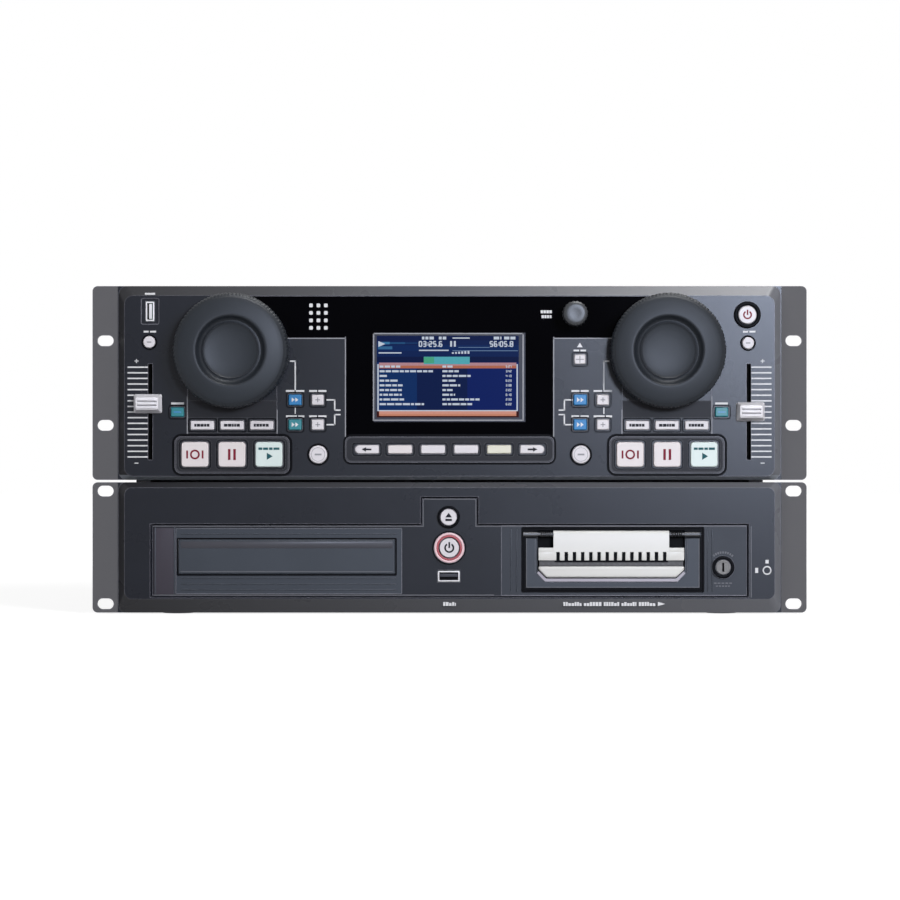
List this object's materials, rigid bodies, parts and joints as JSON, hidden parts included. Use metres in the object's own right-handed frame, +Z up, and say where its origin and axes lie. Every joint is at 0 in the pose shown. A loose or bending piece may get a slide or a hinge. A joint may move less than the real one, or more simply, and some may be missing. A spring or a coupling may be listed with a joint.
{
  "type": "dual cd player",
  "caption": "Rack-mounted disc player for DJs: a control panel with jog wheels, pitch faders, keys and a screen, above a drive unit with a loading tray and a removable cartridge.",
  "frame": {"origin": "on the surface the feet stand on, under the middle of the whole object", "axes": "+X to the right of someone facing the front panels, -Y towards that person, +Z up"},
  "size_m": [0.4826, 0.33, 0.2217],
  "materials": {
    "blue_key": "satin",
    "case_paint": "fine textured",
    "circuit_board": "satin",
    "drive_plastic": "satin",
    "fader_cap": "satin",
    "foot_rubber": "matte",
    "handle_plastic": "satin",
    "jog_rubber": "satin",
    "knob_plastic": "matte",
    "lock_steel": "polished",
    "panel_paint": "satin",
    "screen": "gloss",
    "screw_steel": "polished",
    "spindle": "satin",
    "supply_steel": "satin",
    "teal_key": "satin",
    "tray_plastic": "satin",
    "white_key": "satin",
    "window_black": "gloss"
  },
  "bodies": {
    "housing": {"control_front_panel": "panel_paint", "display_window": "window_black", "display_screen": "screen", "control_board": "circuit_board", "control_rear_case": "case_paint", "drive_front_panel": "panel_paint", "drive_chassis": "case_paint", "drive_top_cover": "case_paint", "screws": "screw_steel", "rubber_feet": "foot_rubber", "disc_drive_frame": "drive_plastic", "cartridge_bay": "drive_plastic", "main_board": "circuit_board", "power_supply": "supply_steel"},
    "blue_button_left_lower": {"blue_button_left_lower": "teal_key"},
    "blue_button_left_upper": {"blue_button_left_upper": "blue_key"},
    "blue_button_right_lower": {"blue_button_right_lower": "blue_key"},
    "blue_button_right_upper": {"blue_button_right_upper": "blue_key"},
    "browse_knob": {"browse_knob": "knob_plastic"},
    "cartridge_handle": {"cartridge_handle": "handle_plastic"},
    "control_power_button": {"control_power_button": "white_key"},
    "corner_button_left": {"corner_button_left": "white_key"},
    "corner_button_right": {"corner_button_right": "white_key"},
    "cue_button_left": {"cue_button_left": "white_key"},
    "cue_button_right": {"cue_button_right": "white_key"},
    "disc_spindle": {"disc_spindle": "spindle"},
    "disc_tray": {"disc_tray": "tray_plastic"},
    "drive_cartridge": {"drive_cartridge": "drive_plastic"},
    "drive_power_button": {"drive_power_button": "white_key"},
    "eject_button": {"eject_button": "white_key"},
    "jog_wheel_left": {"jog_wheel_left": "jog_rubber"},
    "jog_wheel_right": {"jog_wheel_right": "jog_rubber"},
    "key_cylinder": {"key_cylinder": "lock_steel"},
    "loop_button_left_1": {"loop_button_left_1": "white_key"},
    "loop_button_left_2": {"loop_button_left_2": "white_key"},
    "loop_button_left_3": {"loop_button_left_3": "white_key"},
    "loop_button_right_1": {"loop_button_right_1": "white_key"},
    "loop_button_right_2": {"loop_button_right_2": "white_key"},
    "loop_button_right_3": {"loop_button_right_3": "white_key"},
    "pause_button_left": {"pause_button_left": "white_key"},
    "pause_button_right": {"pause_button_right": "white_key"},
    "pitch_button_left": {"pitch_button_left": "teal_key"},
    "pitch_button_right": {"pitch_button_right": "teal_key"},
    "pitch_fader_left": {"pitch_fader_left": "fader_cap"},
    "pitch_fader_right": {"pitch_fader_right": "fader_cap"},
    "play_button_left": {"play_button_left": "white_key"},
    "play_button_right": {"play_button_right": "white_key"},
    "round_button_left": {"round_button_left": "white_key"},
    "round_button_right": {"round_button_right": "white_key"},
    "soft_key_1": {"soft_key_1": "white_key"},
    "soft_key_2": {"soft_key_2": "white_key"},
    "soft_key_3": {"soft_key_3": "white_key"},
    "soft_key_4": {"soft_key_4": "white_key"},
    "soft_key_5": {"soft_key_5": "white_key"},
    "soft_key_6": {"soft_key_6": "white_key"},
    "square_button": {"square_button": "white_key"},
    "white_button_left_lower": {"white_button_left_lower": "white_key"},
    "white_button_left_upper": {"white_button_left_upper": "white_key"},
    "white_button_right_lower": {"white_button_right_lower": "white_key"},
    "white_button_right_upper": {"white_button_right_upper": "white_key"}
  },
  "joints": [
    {"name": "jog_wheel_left_turn", "type": "hinge", "parent": "housing", "child": "jog_wheel_left", "pos_m": [-0.1465, -0.143, 0.17758], "axis": [0, -1, 0], "continuous": true},
    {"name": "jog_wheel_right_turn", "type": "hinge", "parent": "housing", "child": "jog_wheel_right", "pos_m": [0.1465, -0.143, 0.17758], "axis": [0, -1, 0], "continuous": true},
    {"name": "browse_knob_turn", "type": "hinge", "parent": "housing", "child": "browse_knob", "pos_m": [0.0845, -0.143, 0.20258], "axis": [0, -1, 0], "continuous": true},
    {"name": "pitch_fader_left_slide", "type": "slide", "parent": "housing", "child": "pitch_fader_left", "axis": [0, 0, 1], "range_m": [-0.0354, 0.0246]},
    {"name": "pitch_fader_right_slide", "type": "slide", "parent": "housing", "child": "pitch_fader_right", "axis": [0, 0, 1], "range_m": [-0.03, 0.03]},
    {"name": "blue_button_left_lower_press", "type": "slide", "parent": "housing", "child": "blue_button_left_lower", "axis": [0, 1, 0], "range_m": [0, 0.001], "stiffness_N_per_m": 400},
    {"name": "blue_button_left_upper_press", "type": "slide", "parent": "housing", "child": "blue_button_left_upper", "axis": [0, 1, 0], "range_m": [0, 0.001], "stiffness_N_per_m": 400},
    {"name": "blue_button_right_lower_press", "type": "slide", "parent": "housing", "child": "blue_button_right_lower", "axis": [0, 1, 0], "range_m": [0, 0.001], "stiffness_N_per_m": 400},
    {"name": "blue_button_right_upper_press", "type": "slide", "parent": "housing", "child": "blue_button_right_upper", "axis": [0, 1, 0], "range_m": [0, 0.001], "stiffness_N_per_m": 400},
    {"name": "control_power_button_press", "type": "slide", "parent": "housing", "child": "control_power_button", "axis": [0, 1, 0], "range_m": [0, 0.0012], "stiffness_N_per_m": 400},
    {"name": "corner_button_left_press", "type": "slide", "parent": "housing", "child": "corner_button_left", "axis": [0, 1, 0], "range_m": [0, 0.001], "stiffness_N_per_m": 400},
    {"name": "corner_button_right_press", "type": "slide", "parent": "housing", "child": "corner_button_right", "axis": [0, 1, 0], "range_m": [0, 0.001], "stiffness_N_per_m": 400},
    {"name": "cue_button_left_press", "type": "slide", "parent": "housing", "child": "cue_button_left", "axis": [0, 1, 0], "range_m": [0, 0.0012], "stiffness_N_per_m": 400},
    {"name": "cue_button_right_press", "type": "slide", "parent": "housing", "child": "cue_button_right", "axis": [0, 1, 0], "range_m": [0, 0.0012], "stiffness_N_per_m": 400},
    {"name": "drive_power_button_press", "type": "slide", "parent": "housing", "child": "drive_power_button", "axis": [0, 1, 0], "range_m": [0, 0.0012], "stiffness_N_per_m": 400},
    {"name": "eject_button_press", "type": "slide", "parent": "housing", "child": "eject_button", "axis": [0, 1, 0], "range_m": [0, 0.0012], "stiffness_N_per_m": 400},
    {"name": "loop_button_left_1_press", "type": "slide", "parent": "housing", "child": "loop_button_left_1", "axis": [0, 1, 0], "range_m": [0, 0.001], "stiffness_N_per_m": 400},
    {"name": "loop_button_left_2_press", "type": "slide", "parent": "housing", "child": "loop_button_left_2", "axis": [0, 1, 0], "range_m": [0, 0.001], "stiffness_N_per_m": 400},
    {"name": "loop_button_left_3_press", "type": "slide", "parent": "housing", "child": "loop_button_left_3", "axis": [0, 1, 0], "range_m": [0, 0.001], "stiffness_N_per_m": 400},
    {"name": "loop_button_right_1_press", "type": "slide", "parent": "housing", "child": "loop_button_right_1", "axis": [0, 1, 0], "range_m": [0, 0.001], "stiffness_N_per_m": 400},
    {"name": "loop_button_right_2_press", "type": "slide", "parent": "housing", "child": "loop_button_right_2", "axis": [0, 1, 0], "range_m": [0, 0.001], "stiffness_N_per_m": 400},
    {"name": "loop_button_right_3_press", "type": "slide", "parent": "housing", "child": "loop_button_right_3", "axis": [0, 1, 0], "range_m": [0, 0.001], "stiffness_N_per_m": 400},
    {"name": "pause_button_left_press", "type": "slide", "parent": "housing", "child": "pause_button_left", "axis": [0, 1, 0], "range_m": [0, 0.0012], "stiffness_N_per_m": 400},
    {"name": "pause_button_right_press", "type": "slide", "parent": "housing", "child": "pause_button_right", "axis": [0, 1, 0], "range_m": [0, 0.0012], "stiffness_N_per_m": 400},
    {"name": "pitch_button_left_press", "type": "slide", "parent": "housing", "child": "pitch_button_left", "axis": [0, 1, 0], "range_m": [0, 0.001], "stiffness_N_per_m": 400},
    {"name": "pitch_button_right_press", "type": "slide", "parent": "housing", "child": "pitch_button_right", "axis": [0, 1, 0], "range_m": [0, 0.001], "stiffness_N_per_m": 400},
    {"name": "play_button_left_press", "type": "slide", "parent": "housing", "child": "play_button_left", "axis": [0, 1, 0], "range_m": [0, 0.0012], "stiffness_N_per_m": 400},
    {"name": "play_button_right_press", "type": "slide", "parent": "housing", "child": "play_button_right", "axis": [0, 1, 0], "range_m": [0, 0.0012], "stiffness_N_per_m": 400},
    {"name": "round_button_left_press", "type": "slide", "parent": "housing", "child": "round_button_left", "axis": [0, 1, 0], "range_m": [0, 0.0012], "stiffness_N_per_m": 400},
    {"name": "round_button_right_press", "type": "slide", "parent": "housing", "child": "round_button_right", "axis": [0, 1, 0], "range_m": [0, 0.0012], "stiffness_N_per_m": 400},
    {"name": "soft_key_1_press", "type": "slide", "parent": "housing", "child": "soft_key_1", "axis": [0, 1, 0], "range_m": [0, 0.001], "stiffness_N_per_m": 400},
    {"name": "soft_key_2_press", "type": "slide", "parent": "housing", "child": "soft_key_2", "axis": [0, 1, 0], "range_m": [0, 0.001], "stiffness_N_per_m": 400},
    {"name": "soft_key_3_press", "type": "slide", "parent": "housing", "child": "soft_key_3", "axis": [0, 1, 0], "range_m": [0, 0.001], "stiffness_N_per_m": 400},
    {"name": "soft_key_4_press", "type": "slide", "parent": "housing", "child": "soft_key_4", "axis": [0, 1, 0], "range_m": [0, 0.001], "stiffness_N_per_m": 400},
    {"name": "soft_key_5_press", "type": "slide", "parent": "housing", "child": "soft_key_5", "axis": [0, 1, 0], "range_m": [0, 0.001], "stiffness_N_per_m": 400},
    {"name": "soft_key_6_press", "type": "slide", "parent": "housing", "child": "soft_key_6", "axis": [0, 1, 0], "range_m": [0, 0.001], "stiffness_N_per_m": 400},
    {"name": "square_button_press", "type": "slide", "parent": "housing", "child": "square_button", "axis": [0, 1, 0], "range_m": [0, 0.001], "stiffness_N_per_m": 400},
    {"name": "white_button_left_lower_press", "type": "slide", "parent": "housing", "child": "white_button_left_lower", "axis": [0, 1, 0], "range_m": [0, 0.001], "stiffness_N_per_m": 400},
    {"name": "white_button_left_upper_press", "type": "slide", "parent": "housing", "child": "white_button_left_upper", "axis": [0, 1, 0], "range_m": [0, 0.001], "stiffness_N_per_m": 400},
    {"name": "white_button_right_lower_press", "type": "slide", "parent": "housing", "child": "white_button_right_lower", "axis": [0, 1, 0], "range_m": [0, 0.001], "stiffness_N_per_m": 400},
    {"name": "white_button_right_upper_press", "type": "slide", "parent": "housing", "child": "white_button_right_upper", "axis": [0, 1, 0], "range_m": [0, 0.001], "stiffness_N_per_m": 400},
    {"name": "disc_tray_slide", "type": "slide", "parent": "housing", "child": "disc_tray", "axis": [0, -1, 0], "range_m": [0, 0.135]},
    {"name": "disc_spindle_turn", "type": "hinge", "parent": "housing", "child": "disc_spindle", "pos_m": [-0.10845, -0.069, 0.03505], "axis": [0, 0, 1], "continuous": true},
    {"name": "drive_cartridge_slide", "type": "slide", "parent": "housing", "child": "drive_cartridge", "axis": [0, -1, 0], "range_m": [0, 0.186]},
    {"name": "cartridge_handle_fold", "type": "hinge", "parent": "drive_cartridge", "child": "cartridge_handle", "pos_m": [0.1091, -0.14, 0.05405], "axis": [-1, 0, 0], "range_deg": [0, 90]},
    {"name": "key_cylinder_turn", "type": "hinge", "parent": "housing", "child": "key_cylinder", "pos_m": [0.1845, -0.138, 0.03185], "axis": [0, 1, 0], "range_deg": [0, 90]}
  ]
}
